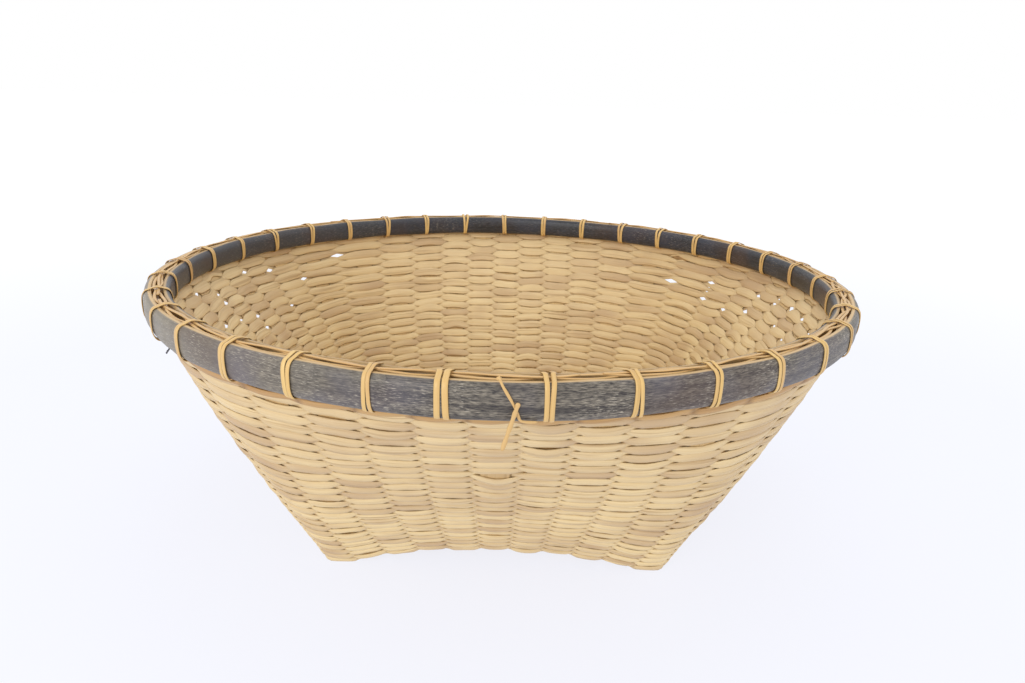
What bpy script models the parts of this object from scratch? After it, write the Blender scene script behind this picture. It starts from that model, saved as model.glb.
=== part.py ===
"""Winnowing basket: a woven square base on four corners, a flaring plain-woven wall and a
round rim held between two half-round bamboo hoops with cane lashings.

The frame is metres, +Z up, with the origin on the floor below the middle of the basket.
The front side faces -Y. Sides are counted 0 front, 1 right, 2 back, 3 left, and a place
round the basket is s = side + w / 2, where w runs from -1 to 1 across that side.
"""
import math

import bpy
import numpy as np

# Driving dimensions
BASE_HALF = 0.1185          # half the side of the square base
CORNER_SHARPNESS = 42.0     # superellipse power of the base outline
BASE_ARCH = 0.0120          # rise of the base above its four corners
ARCH_FLAT = 0.80            # the arch starts at this part of the half side
ARCH_POWER = 2.4
HOOP_BOTTOM = 0.1685        # height of the hoops' lower edge
HOOP_TOP = 0.1855
WALL_TOP = 0.1835
WALL_RADIUS = 0.2413        # middle of the wall between the hoops
SIDE_HOLLOW = 0.0022        # how far the middle of a side dips below a straight flare
SQUARENESS_POWER = 0.727    # how the square section turns round on the way up
SQUARENESS_FADE = 0.935
MID_SIDE_CROWDING = 0.227   # stakes stand closer at the middle of a side than at a corner

# Strips, woven in the base and turned up to be the wall's stakes
STRIPS = 11                 # in each direction
STRIP_SPREAD = 0.97         # the outermost strips keep a little off the corners
STRIP_WIDTH = 0.0160
STRIP_THICK = 0.0012
BASE_GAP = 0.0007           # room between two strips where they cross
CROSSING_MARGIN = 0.0009    # flat run past the edge of the crossed strip
FOLD_HEIGHT = 0.0042        # a strip has turned into the wall this far above the base

# Weft bands
BANDS = 4                   # in the sloping wall, with one more between the hoops
BAND_CLIMB = 1.4            # bands grow taller up the wall, as its corners ease
BAND_THICK = 0.0015
STRIP_IN_WALL = 0.0013      # the strip's thickness measured level
WEAVE_GAP = 0.0007
BAND_MARGIN = 0.0004        # flat run of a band past a stake's edge
BAND_GAP = 0.0004           # between one band and the next
BAND_START = 0.0052         # lower edge of the first band above the base

# Rim
HOOP_SEGMENTS = 60
OUTER_HOOP = (0.2448, 0.2500)   # flat face against the wall, crown of the half round
INNER_HOOP = (0.2378, 0.2331)
HOOP_SHOULDER = 0.0016      # the half round is thinner than its crown by this at its edges
BINDER_SEGMENTS = 44
BINDER_RADIUS = 0.0015
BINDER_HEIGHT = 0.1874
OUTER_BINDER_AT = 0.2439
INNER_BINDER_AT = 0.2387
RUN_RADIUS = 0.0012         # the lashing cane's own run along the top
RUN_AT = (0.2413, 0.1896)
RUN_STEPS = 2               # from one lashing to the next

LASHINGS = 35
LASHING_CANES = 5
LASHING_WIDTH = 0.0042
LASHING_THICK = 0.0008
LASHING_ROOM = 0.0005       # clear of the hoops and binders that it holds
LASHING_TUCK = 0.0012       # its ends stop this far from the wall
BAR_OVERHANG = 0.0009       # the level top bar reaches past the binders' middles
FIRST_LASHING = math.radians(-55.65)
LASHING_DRIFT = math.radians(1.0)   # lashings stand closer at the front than at the sides
CANE_OVERHANG = 0.35        # a cane runs past its last lashing by this part of a pitch

# A loose tie at the front: a thin strand from the rim, with a splint tucked under it
TIE_AT = 0.2512
TIE_RADIUS = 0.0005
TIE_POINTS = ((0.5, 0.1850), (1.1, 0.1825), (2.2, 0.1742), (2.7, 0.1700), (3.3, 0.1696))
SPLINT_AT = 0.2530
SPLINT_RADIUS = 0.0009
SPLINT_ENDS = ((2.4, 0.1770), (0.85, 0.1535))

WEFT_TAN = (0.72, 0.55, 0.29)
STAKE_TAN = (0.66, 0.50, 0.27)
HOOP_GREY = (0.10, 0.10, 0.11)
CANE_STRAW = (0.70, 0.52, 0.24)

BASE_PITCH = 2 * BASE_HALF / STRIPS * STRIP_SPREAD
CROSS_LIFT = (STRIP_THICK + BASE_GAP) / 2
BASE_LIFT = CROSS_LIFT + STRIP_THICK / 2
STAKES = 4 * STRIPS
WEAVE_LIFT = (BAND_THICK + STRIP_IN_WALL) / 2 + WEAVE_GAP


def clear_scene():
    for old in list(bpy.data.objects):
        bpy.data.objects.remove(old)


def make_material(name, colour, roughness):
    material = bpy.data.materials.new(name)
    material.use_nodes = True
    shader = material.node_tree.nodes["Principled BSDF"]
    shader.inputs["Base Color"].default_value = (*colour, 1.0)
    shader.inputs["Roughness"].default_value = roughness
    shader.inputs["Metallic"].default_value = 0.0
    return material


def swept_object(name, sections, closed, material):
    """A solid from an array of sections (count, corners, 3), each joined to the next."""
    count, corners = sections.shape[:2]
    index = np.arange(count * corners).reshape(count, corners)
    after = np.roll(index, -1, axis=0) if closed else index[1:]
    before = index if closed else index[:-1]
    quads = np.stack([before, np.roll(before, -1, 1), np.roll(after, -1, 1), after], -1)
    faces = quads.reshape(-1, 4).tolist()
    if not closed:
        faces += [index[0, ::-1].tolist(), index[-1].tolist()]
    points = sections.reshape(-1, 3)
    if signed_volume(points, faces) < 0:
        faces = [face[::-1] for face in faces]
    mesh = bpy.data.meshes.new(name)
    mesh.from_pydata(points.tolist(), [], faces)
    mesh.materials.append(material)
    mesh.shade_smooth()
    mesh.set_sharp_from_angle(angle=math.radians(35))
    item = bpy.data.objects.new(name, mesh)
    bpy.context.scene.collection.objects.link(item)
    return item


def signed_volume(points, faces):
    total = 0.0
    for face in faces:
        a = points[face[0]]
        for second, third in zip(face[1:-1], face[2:]):
            total += float(np.dot(a, np.cross(points[second], points[third])))
    return total


def arch_height(x, y):
    """Height of the base's middle surface: flat on the corners, risen between them."""
    across = np.clip(np.abs(x) / (ARCH_FLAT * BASE_HALF), 0, 1) ** ARCH_POWER
    along = np.clip(np.abs(y) / (ARCH_FLAT * BASE_HALF), 0, 1) ** ARCH_POWER
    return BASE_LIFT + BASE_ARCH * (1 - across * along)


def wall_outline(s, t):
    """Level outline of the wall's middle surface at part t of its slope, as x and y.

    The outline is a superellipse whose corner-to-side ratio falls from a square's to a
    circle's, so the corners reach well up the wall before it turns round.
    """
    rise = np.clip(t, 0, 1)
    side = np.floor(s + 0.5)
    w = 2 * (s - side)
    half = BASE_HALF + (WALL_RADIUS - BASE_HALF) * rise - SIDE_HOLLOW * 4 * rise * (1 - rise)
    square = 2 ** (0.5 - 1 / CORNER_SHARPNESS) - 1
    ratio = 1 + square * (1 - rise ** SQUARENESS_POWER) ** SQUARENESS_FADE
    power = 1 / (0.5 - np.log2(ratio))
    rim_angle = (w + MID_SIDE_CROWDING * (w ** 3 - w)) * math.pi / 4
    angle = (1 - rise) * np.arctan(w) + rise * rim_angle
    spread = (np.abs(np.cos(angle)) ** power + np.abs(np.sin(angle)) ** power) ** (1 / power)
    bearing = angle + side * math.pi / 2
    return half / spread * np.sin(bearing), -half / spread * np.cos(bearing)


def wall_point(s, t, out=0.0):
    """A point of the wall, moved outwards level by out. Past t = 1 the wall is upright."""
    step = 1e-4
    x, y = wall_outline(s, t)
    ahead_x, ahead_y = wall_outline(s + step, t)
    back_x, back_y = wall_outline(s - step, t)
    run_x, run_y = ahead_x - back_x, ahead_y - back_y
    length = np.hypot(run_x, run_y)
    foot_x, foot_y = wall_outline(s, np.zeros_like(t))
    foot = arch_height(foot_x, foot_y)
    rise = np.clip(t, 0, 1)
    z = foot + (HOOP_BOTTOM - foot) * rise + (WALL_TOP - HOOP_BOTTOM) * (t - rise)
    return np.stack([x + out * run_y / length, y - out * run_x / length, z], -1)


def wall_speed(s, t):
    """Metres of outline for each unit of s."""
    step = 1e-4
    ahead = np.stack(wall_outline(s + step, t))
    back = np.stack(wall_outline(s - step, t))
    return np.hypot(*(ahead - back)) / (2 * step)


def height_part(s, above_base):
    """The part t of the slope that lies this far above the base at s."""
    x, y = wall_outline(s, np.zeros_like(s))
    return above_base / (HOOP_BOTTOM - arch_height(x, y))


def band_levels():
    """The heights t where bands meet: the slope's, then the top of the upright part."""
    return np.append(np.linspace(0, 1, BANDS + 1) ** BAND_CLIMB, 2.0)


def stake_places():
    """The s of every stake, side by side round the basket."""
    offsets = (np.arange(STRIPS) - STRIPS // 2) * 2 / STRIPS * STRIP_SPREAD
    return np.concatenate([side + offsets / 2 for side in range(4)])


def strip_wall(s, band_edges):
    """Sections of one strip up the wall, from the fold to the wall's top."""
    start = height_part(np.array([s]), FOLD_HEIGHT)
    t = np.concatenate([start, band_edges[1:]])
    centre = np.full_like(t, s)
    half = STRIP_WIDTH / 2 / wall_speed(centre, t)
    out = STRIP_IN_WALL / 2
    corners = [(-half, out), (half, out), (half, -out), (-half, -out)]
    return np.stack([wall_point(centre + shift, t, push) for shift, push in corners], 1)


def strip_base(number, over_first):
    """Sections of one strip across the base, laid along +Y, over and under each crossing."""
    centre = (number - STRIPS // 2) * BASE_PITCH
    crossings = (np.arange(STRIPS) - STRIPS // 2) * BASE_PITCH
    reach = STRIP_WIDTH / 2 + CROSSING_MARGIN
    y = np.stack([crossings - reach, crossings + reach], -1).ravel()
    sign = np.where((np.arange(STRIPS) + number) % 2 == 0, 1.0, -1.0) * over_first
    lift = np.repeat(sign, 2) * CROSS_LIFT
    sections = []
    for side, up in ((-1, -1), (1, -1), (1, 1), (-1, 1)):
        x = np.full_like(y, centre + side * STRIP_WIDTH / 2)
        z = arch_height(x, y) + lift + up * STRIP_THICK / 2
        sections.append(np.stack([x, y, z], -1))
    return np.stack(sections, 1)


def make_strip(name, number, turned, material):
    """A whole strip: down one wall, across the base and up the wall opposite."""
    w = (number - STRIPS // 2) * 2 / STRIPS * STRIP_SPREAD
    edges = band_levels()
    over_first = 1.0 if not turned else -1.0
    front = strip_wall(w / 2, edges)[::-1]
    back = strip_wall(2 - w / 2, edges)[:, [1, 0, 3, 2]]
    sections = np.concatenate([front, strip_base(number, over_first), back])
    if turned:
        sections = np.stack([-sections[..., 1], sections[..., 0], sections[..., 2]], -1)
    return swept_object(name, sections, False, material)


def make_band(name, low, high, parity, material):
    """A band of packed wefts: a closed ring, outside one stake and inside the next."""
    places = stake_places()
    sign = np.where((np.arange(STAKES) + parity) % 2 == 0, 1.0, -1.0)
    low_t = np.full(STAKES, low + BAND_GAP / 2 / HOOP_BOTTOM)
    if low == 0:
        low_t = height_part(places, BAND_START)
    high_t = np.full(STAKES, high - BAND_GAP / 2 / HOOP_BOTTOM)
    reach = STRIP_WIDTH / 2 + BAND_MARGIN
    corners = []
    for level, face in ((low_t, 1), (high_t, 1), (high_t, -1), (low_t, -1)):
        half = reach / wall_speed(places, level)
        s = np.stack([places - half, places + half], -1).ravel()
        out = np.repeat(sign * WEAVE_LIFT, 2) + face * BAND_THICK / 2
        corners.append(wall_point(s, np.repeat(level, 2), out))
    return swept_object(name, np.stack(corners, 1), True, material)


def turned_ring(profile, segments):
    """Sections of a ring: a profile of radius and height carried round the vertical axis."""
    angle = np.arange(segments) * 2 * math.pi / segments
    radius, height = np.array(profile).T
    x = radius * np.sin(angle)[:, None]
    y = -radius * np.cos(angle)[:, None]
    return np.stack([x, y, np.broadcast_to(height, x.shape)], -1)


def hoop_profile(flat, crown):
    """A half-round split: flat against the wall and crowned on the side that shows."""
    shoulder = crown - math.copysign(HOOP_SHOULDER, crown - flat)
    middle = (HOOP_BOTTOM + HOOP_TOP) / 2
    return [(flat, HOOP_BOTTOM), (shoulder, HOOP_BOTTOM), (crown, middle),
            (shoulder, HOOP_TOP), (flat, HOOP_TOP)]


def round_profile(radius, height, thickness, sides):
    turn = np.arange(sides) * 2 * math.pi / sides
    return np.stack([radius + thickness * np.cos(turn), height + thickness * np.sin(turn)], -1)


def lashing_angle(number):
    """Angle of a lashing from the front: spaced evenly, less a drift that crowds the front."""
    even = FIRST_LASHING + number * 2 * math.pi / LASHINGS
    return even - LASHING_DRIFT * (math.sin(even) + math.sin(2 * even))


def lashing_outline():
    """The inner edge of a lashing over both hoops, as radius and height."""
    room = LASHING_ROOM
    outer = OUTER_HOOP[1] + room
    inner = INNER_HOOP[1] - room
    middle = (HOOP_BOTTOM + HOOP_TOP) / 2
    below = HOOP_BOTTOM - room
    bar = BINDER_HEIGHT + BINDER_RADIUS + room
    return np.array([
        (OUTER_HOOP[0] + LASHING_TUCK, below), (outer - HOOP_SHOULDER, below), (outer, middle),
        (outer - HOOP_SHOULDER, HOOP_TOP + room), (OUTER_BINDER_AT + BAR_OVERHANG, bar),
        (INNER_BINDER_AT - BAR_OVERHANG, bar), (inner + HOOP_SHOULDER, HOOP_TOP + room),
        (inner, middle), (inner + HOOP_SHOULDER, below), (INNER_HOOP[0] - LASHING_TUCK, below)])


def lashing_sections(angle):
    """Sections of one lashing strap at this angle: its outline given width and thickness."""
    edge = lashing_outline()
    along = np.gradient(edge, axis=0)
    along /= np.linalg.norm(along, axis=1)[:, None]
    outward = np.stack([along[:, 1], -along[:, 0]], -1)
    cover = edge + outward * LASHING_THICK
    radial = np.array([math.sin(angle), -math.cos(angle), 0.0])
    across = np.array([math.cos(angle), math.sin(angle), 0.0]) * LASHING_WIDTH / 2
    corners = []
    for path, side in ((edge, -1), (edge, 1), (cover, 1), (cover, -1)):
        point = path[:, :1] * radial + path[:, 1:] * np.array([0.0, 0.0, 1.0])
        corners.append(point + side * across)
    return np.stack(corners, 1)


def make_cane(name, first, last, material):
    """A lashing cane: a run along the rim's top joined to the loops that it ties."""
    steps = (last - first) * RUN_STEPS + 2
    number = np.linspace(first - CANE_OVERHANG, last + CANE_OVERHANG, steps + 1)
    profile = round_profile(*RUN_AT, RUN_RADIUS, 5)
    angle = np.array([lashing_angle(value) for value in number])[:, None]
    x = profile[:, 0] * np.sin(angle)
    y = -profile[:, 0] * np.cos(angle)
    z = np.broadcast_to(profile[:, 1], x.shape)
    cane = swept_object(name, np.stack([x, y, z], -1), False, material)
    for knot in range(first, last + 1):
        loop = swept_object(f"{name}_loop_{knot}", lashing_sections(lashing_angle(knot)),
                            False, material)
        loop.hide_render = True
        loop.display_type = "WIRE"
        union = cane.modifiers.new(f"loop_{knot}", "BOOLEAN")
        union.operation = "UNION"
        union.solver = "EXACT"
        union.object = loop
    return cane


def rim_point(degrees, height, radius):
    angle = math.radians(degrees)
    return np.array([radius * math.sin(angle), -radius * math.cos(angle), height])


def make_splinter(name, points, radius, material):
    """A thin rod through the points, five-sided."""
    points = np.array(points)
    along = np.gradient(points, axis=0)
    along /= np.linalg.norm(along, axis=1)[:, None]
    outward = np.array([0.0, -1.0, 0.0])
    across = np.cross(along, outward)
    across /= np.linalg.norm(across, axis=1)[:, None]
    outward = np.cross(across, along)
    turn = np.arange(5) * 2 * math.pi / 5
    ring = (np.cos(turn)[None, :, None] * across[:, None]
            + np.sin(turn)[None, :, None] * outward[:, None])
    return swept_object(name, points[:, None] + radius * ring, False, material)


def make_strips(material):
    for number in range(STRIPS):
        make_strip(f"base_strip_front_back_{number + 1:02d}", number, False, material)
        make_strip(f"base_strip_left_right_{number + 1:02d}", number, True, material)


def make_bands(material):
    levels = band_levels()
    for number in range(BANDS + 1):
        name = f"weft_band_{number + 1}" if number < BANDS else "weft_band_rim"
        make_band(name, levels[number], levels[number + 1], number, material)


def make_rim(hoop_material, cane_material):
    outer = turned_ring(hoop_profile(*OUTER_HOOP), HOOP_SEGMENTS)
    inner = turned_ring(hoop_profile(*INNER_HOOP), HOOP_SEGMENTS)
    swept_object("outer_hoop", outer, True, hoop_material)
    swept_object("inner_hoop", inner, True, hoop_material)
    for name, radius in (("outer_binder", OUTER_BINDER_AT), ("inner_binder", INNER_BINDER_AT)):
        profile = round_profile(radius, BINDER_HEIGHT, BINDER_RADIUS, 5)
        swept_object(name, turned_ring(profile, BINDER_SEGMENTS), True, cane_material)


def make_lashings(material):
    each = LASHINGS // LASHING_CANES
    for number in range(LASHING_CANES):
        first = number * each
        make_cane(f"lashing_cane_{number + 1}", first, first + each - 1, material)


def make_loose_tie(material):
    strand = [rim_point(degrees, height, TIE_AT) for degrees, height in TIE_POINTS]
    splint = [rim_point(degrees, height, SPLINT_AT) for degrees, height in SPLINT_ENDS]
    make_splinter("loose_tie_strand", strand, TIE_RADIUS, material)
    make_splinter("loose_tie_splint", splint, SPLINT_RADIUS, material)


def main():
    clear_scene()
    weft = make_material("weft_bamboo", WEFT_TAN, 0.55)
    stake = make_material("stake_bamboo", STAKE_TAN, 0.6)
    hoop = make_material("hoop_bamboo", HOOP_GREY, 0.5)
    cane = make_material("lashing_cane", CANE_STRAW, 0.4)
    make_strips(stake)
    make_bands(weft)
    make_rim(hoop, cane)
    make_lashings(cane)
    make_loose_tie(cane)


main()
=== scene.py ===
"""Looks of the woven bamboo winnowing basket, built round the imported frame.

The frame is metres, +Z up, with the origin on the floor below the middle of the basket.
The front side faces -Y. A place round the basket is s: the sides are counted 0 front,
1 right, 2 back, 3 left, and s runs from side - 1/2 to side + 1/2 across each. A height on
the wall is t: 0 at the base's edge, 1 at the hoops' lower edge, above 1 between the hoops.
"""
import math

import bpy
import numpy as np
from mathutils import Matrix, Vector


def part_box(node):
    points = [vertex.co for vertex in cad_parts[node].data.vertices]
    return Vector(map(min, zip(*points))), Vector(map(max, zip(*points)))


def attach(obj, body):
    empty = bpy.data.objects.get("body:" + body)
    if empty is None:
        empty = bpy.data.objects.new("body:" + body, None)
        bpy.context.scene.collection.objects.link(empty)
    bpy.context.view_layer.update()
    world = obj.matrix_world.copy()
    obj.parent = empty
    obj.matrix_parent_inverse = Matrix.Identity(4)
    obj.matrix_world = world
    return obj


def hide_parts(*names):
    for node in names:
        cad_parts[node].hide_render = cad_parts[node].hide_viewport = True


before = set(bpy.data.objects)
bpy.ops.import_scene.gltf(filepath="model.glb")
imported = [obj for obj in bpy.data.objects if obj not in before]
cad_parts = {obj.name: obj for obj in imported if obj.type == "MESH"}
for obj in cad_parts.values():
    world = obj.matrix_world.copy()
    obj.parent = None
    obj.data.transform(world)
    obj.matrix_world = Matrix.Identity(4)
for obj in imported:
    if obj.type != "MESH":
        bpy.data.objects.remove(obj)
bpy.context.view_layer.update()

outer_low, outer_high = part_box("outer_hoop")
inner_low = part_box("inner_hoop")[0]

# The wall's shape, as the frame has it
HOOP_BOTTOM = outer_low.z
HOOP_TOP = outer_high.z
HOOP_MIDDLE = (HOOP_BOTTOM + HOOP_TOP) / 2
HOOP_HALF = (HOOP_TOP - HOOP_BOTTOM) / 2
OUTER_CROWN = -outer_low.y
INNER_FLAT = -inner_low.y
WALL_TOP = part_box("weft_band_rim")[1].z
OUTER_DEPTH = 0.0052        # flat face to crown of the outer half-round hoop
INNER_DEPTH = 0.0047        # the same of the inner one
OUTER_FLAT = OUTER_CROWN - OUTER_DEPTH
INNER_CROWN = INNER_FLAT - INNER_DEPTH
WALL_RADIUS = (OUTER_FLAT + INNER_FLAT) / 2
BASE_HALF = 0.1185
CORNER_SHARPNESS = 42.0
BASE_LIFT = 0.00155
BASE_ARCH = 0.0120
ARCH_FLAT = 0.80
ARCH_POWER = 2.4
SIDE_HOLLOW = 0.0022
SQUARENESS_POWER = 0.727
SQUARENESS_FADE = 0.935
MID_SIDE_CROWDING = 0.227
SMALL_STEP = 1e-4           # in s and t, for the wall's directions

# Strips: split bamboo across the base, turned up as the wall's stakes
STRIPS = 11
STRIP_SPREAD = 0.97
STAKES = 4 * STRIPS
BASE_PITCH = 2 * BASE_HALF / STRIPS * STRIP_SPREAD
STRIP_WIDTH = 0.0178
STRIP_THICK = 0.0011
BASE_CROSS_LIFT = 0.00095
BASE_OVERHANG = 0.42        # a strip lies flat this many pitches past the last it crosses
FOLD_TOP = 0.028            # the fold at the base's edge ends at this t
FOLD_INSET = 0.985          # and bends this near to the wall
STRIP_TOP = 1.55            # the stakes are cut off between the hoops, at this t
STRIP_SEED = 21

# Weft rows: half-round splits, each outside one stake and inside the next
ROWS = 52                   # from the base to the hoops
RIM_ROWS = 1                # more of them between the hoops
DRAWN_ROWS = ROWS + RIM_ROWS + 2
ROW_GROWTH = 0.21           # rows are finer at the base and coarser at the rim by this part
RIM_SCALE = 12              # t climbs this many times faster between the hoops than below
WEAVE_SNAP = 1.9            # how sharply a row changes from outside to inside
WEFT_THICK = 0.00062        # half the thickness at the middle of a float
WEFT_OUT = 0.00098          # middle of a float out of the wall's middle surface
FLOAT_SWELL = 2.03          # a float's height over its row's pitch, where it bulges most
CROSS_SWELL = 1.32          # the same where it passes between two stakes
FLOAT_LENGTH = 0.60         # a row is as tall as a float where its wave is over this
SWELL_LIMIT = 1.05          # half a row's height is at most this many pitches
HEIGHT_SPREAD = 0.10        # one float's height differs from the next by this part
TILT_SPREAD = 0.17          # and its place by this part of the pitch
PUSH_SPREAD = 0.00025       # and how far it stands out by this
WEFT_STEPS = (0.0, 0.17, 0.31, 0.42, 0.5, 0.58, 0.69, 0.83)  # sections from stake to stake
BAND_CLIMB = 1.4            # heights where the frame's weft bands meet are k/4 to this power
WEFT_SEED = 7
FLOOR_CLEARANCE = 0.0002

# How the rows wander up and down, in t, and open pinholes
ROW_WANDER = 0.0055
ROW_RIPPLE = 0.0028
PINHOLES_FROM = 0.55
PINHOLES_TO = 0.97
PINHOLE_SHARE = 0.24        # share of the slots high on the left and right that are open
PINHOLE_STRAYS = 0.001      # share of the slots anywhere else
SLOT_PARTING = 0.38         # how far rows part at a pinhole, in pitches
SLOT_PINCH = 0.45           # how much thinner they are there

# One place at the front where the rows below have slipped down
GAP_PLACE = (0.004, 0.6166)
GAP_REACH = 0.036
GAP_SLIP = 0.034
GAP_LIFT = 0.35             # rows above it rise by this part of the slip
GAP_BELOW = 0.10            # the slip dies away over this t below
GAP_ABOVE = 0.07            # and over this t above

# Lashings, as the frame has them
LASHINGS = 35
LASHING_CANES = 5
FIRST_LASHING = math.radians(-55.65)
LASHING_DRIFT = math.radians(1.0)
HIDDEN_LASHING = 18         # the hoops' grain starts and ends under this one, at the back
WIDE_LASHING = 5            # the one left of the broken tie, wider and farther from it
WIDE_LASHING_BACK = math.radians(-1.6)
WIDE_LASHING_EXTRA = 0.35   # its strands are wider by this part
WIDE_LASHING_GAP = 0.0006
CANE_WIDTH = 0.0024         # one strand of a lashing
CANE_THICK = 0.0007
CANE_ROOM = 0.0004          # between a hoop's face and the middle of a strand
CANE_LEAN = 0.0004
INSIDE_SPLAY = 0.30         # the two strands part this much more at the top of the inside
CANE_SEED = 31
STRAND_STEPS = 16           # sections of a strand on the rim's top from lashing to lashing

# Strands along the rim's top
RUN_HEIGHT = HOOP_TOP + 0.0008
RUN_TAIL = 0.36             # how far a run goes past its last lashing
RUN_SWAY = 0.0012
RUN_HOP = 0.0003
RUN_PRESS = 0.0002
RUN_WIDTH = 0.0017
RUN_THICK = 0.0008
BINDER_SINK = 0.0004        # a binder's middle below the hoops' top
BINDER_SWAY = 0.0025
BINDER_HOP = 0.0005
BINDER_WIDTH = 0.0020
BINDER_THICK = 0.0012

# The hoops, and where the outer one's lower edge is worn away
HOOP_STEPS = 480
HOOP_SQUARENESS = 2.9
FLAT_FACE = 0.55            # half the flat face's height over half the hoop's
HOOP_NODES = 5
NODE_REACH = 0.006          # half length of a node's ridge, in radians
OUTER_DEEPER = 0.0019       # the outer hoop reaches lower than the inner one by this
WIDER_AT = math.radians(-15)
WIDER_EXTRA = 0.35
NIBBLE_AT = math.radians(74)
NIBBLE_REACH = math.radians(3.5)
NIBBLE_RISE = 0.0016

# Sizes of the bamboo's pattern in metres, along and across the grain. Real fibres are a
# third as wide; these are as coarse as they need to be to show.
FIBRE = (0.040, 0.0010)
STREAK = (0.110, 0.0028)
STAINED_PATCH = 0.055
HOOP_FIBRE = (0.0045, 0.00065)
HOOP_STREAK = (0.090, 0.0030)
HOOP_SCRATCH = (0.0035, 0.00045)
BROWN_PATCH = 0.060
BLUE_PATCH = 0.040
WORN_PATCH = 0.030

# Colours: pale, mid, dark, stain, and crevice (dust with painted shade) of a bamboo or cane
WEFT_COLOURS = ("#edd6a6", "#dcbf8a", "#a17d4f", "#ba9a74", "#a5885e")
STRIP_COLOURS = ("#dcc08a", "#cba870", "#9a7848", "#b8935f", "#6e5232")
BORDER_COLOURS = ("#d2ad72", "#bf965c", "#8f663a", "#a97d4c", "#6b4a2a")
CANE_COLOURS = ("#e8ca86", "#dab268", "#b0873f", "#c79f6c", "#57401f")
# Colours: base, grey, blue, brown, scuff and flesh of a hoop
OUTER_COLOURS = ("#252022", "#8f8677", "#5f5c69", "#524039", "#c6bdac", "#cfae7c")
INNER_COLOURS = ("#17181d", "#43444b", "#383c4d", "#4c372f", "#8c857c", "#b59667")
FLOOR_GLOW = "#e2e4ed"
FLOOR_PAINT = "#707072"
WHITE = (1.0, 1.0, 1.0, 1.0)
FAR_PAINT = (0.2, 0.2, 0.2, 1.0)


# ---------------------------------------------------------------- numbers and surfaces

def linear_colour(code):
    """A hex sRGB colour as linear red, green, blue and 1."""
    share = np.array([int(code[k:k + 2], 16) for k in (1, 3, 5)]) / 255
    linear = np.where(share <= 0.04045, share / 12.92, ((share + 0.055) / 1.055) ** 2.4)
    return (*linear.tolist(), 1.0)


def waves(s, t, seed, turns, tall, count=7):
    """A smooth random field round the basket, about -1 to 1: a sum of sine waves that make
    whole numbers of turns round it, up to turns, and climb it at up to tall radians."""
    rng = np.random.default_rng(seed)
    total = np.zeros(np.broadcast(s, t).shape)
    for _ in range(count):
        turn = rng.integers(1, turns + 1)
        climb = rng.uniform(-tall, tall)
        total += np.sin(turn * s * math.pi / 2 + climb * t + rng.uniform(0, 2 * math.pi))
    return total / math.sqrt(count)


def arch_height(x, y):
    """Height of the base's middle surface: flat on the corners, risen between them by one
    minus the product of the two coordinates' clipped powers."""
    across = np.clip(np.abs(x) / (ARCH_FLAT * BASE_HALF), 0, 1) ** ARCH_POWER
    along = np.clip(np.abs(y) / (ARCH_FLAT * BASE_HALF), 0, 1) ** ARCH_POWER
    return BASE_LIFT + BASE_ARCH * (1 - across * along)


def wall_outline(s, t):
    """Level outline of the wall's middle surface: a superellipse whose corner-to-side ratio
    falls from a square's at the base to a circle's at the rim."""
    rise = np.clip(t, 0, 1)
    side = np.floor(s + 0.5)
    w = 2 * (s - side)
    half = BASE_HALF + (WALL_RADIUS - BASE_HALF) * rise - SIDE_HOLLOW * 4 * rise * (1 - rise)
    square = 2 ** (0.5 - 1 / CORNER_SHARPNESS) - 1
    ratio = 1 + square * (1 - rise ** SQUARENESS_POWER) ** SQUARENESS_FADE
    power = 1 / (0.5 - np.log2(ratio))
    rim_angle = (w + MID_SIDE_CROWDING * (w ** 3 - w)) * math.pi / 4
    angle = (1 - rise) * np.arctan(w) + rise * rim_angle
    spread = (np.abs(np.cos(angle)) ** power + np.abs(np.sin(angle)) ** power) ** (1 / power)
    bearing = angle + side * math.pi / 2
    return half / spread * np.sin(bearing), -half / spread * np.cos(bearing)


def wall_middle(s, t):
    """A point of the wall's middle surface: straight up the slope from the base's edge to
    the hoops, then upright."""
    x, y = wall_outline(s, t)
    foot = arch_height(*wall_outline(s, np.zeros_like(t)))
    rise = np.clip(t, 0, 1)
    z = foot + (HOOP_BOTTOM - foot) * rise + (WALL_TOP - HOOP_BOTTOM) * (t - rise)
    return np.stack([x, y, z], -1)


def unit(vectors):
    """Vectors divided by their lengths."""
    return vectors / np.linalg.norm(vectors, axis=-1, keepdims=True)


def wall_frame(s, t):
    """Middle point of the wall, and the unit directions up its slope and out of it, from
    small differences in s and t."""
    s, t = np.broadcast_arrays(s, t)
    middle = wall_middle(s, t)
    past = unit(wall_middle(s + SMALL_STEP, t) - wall_middle(s - SMALL_STEP, t))
    up = unit(wall_middle(s, t + SMALL_STEP) - middle)
    out = unit(np.cross(past, up))
    return middle, up, out


def stake_place(q):
    """The s of stake number q, counted round from the left end of the front side: even
    steps within a side and a longer one round each corner."""
    number = np.arange(-1, STAKES + 1)
    offset = (number % STRIPS - STRIPS // 2) * 2 / STRIPS * STRIP_SPREAD
    return np.interp(q, number, np.floor(number / STRIPS) + offset / 2)


def row_level(number):
    """The height t of a weft row: rows stand closer at the base than at the rim, by a
    parabola, and go on at the rim's pitch between the hoops."""
    part = (number + 0.5) / ROWS
    level = part + ROW_GROWTH * (part ** 2 - part)
    return np.where(part <= 1, level, 1 + (part - 1) * (1 + ROW_GROWTH) * RIM_SCALE)


# ---------------------------------------------------------------- meshes

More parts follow.
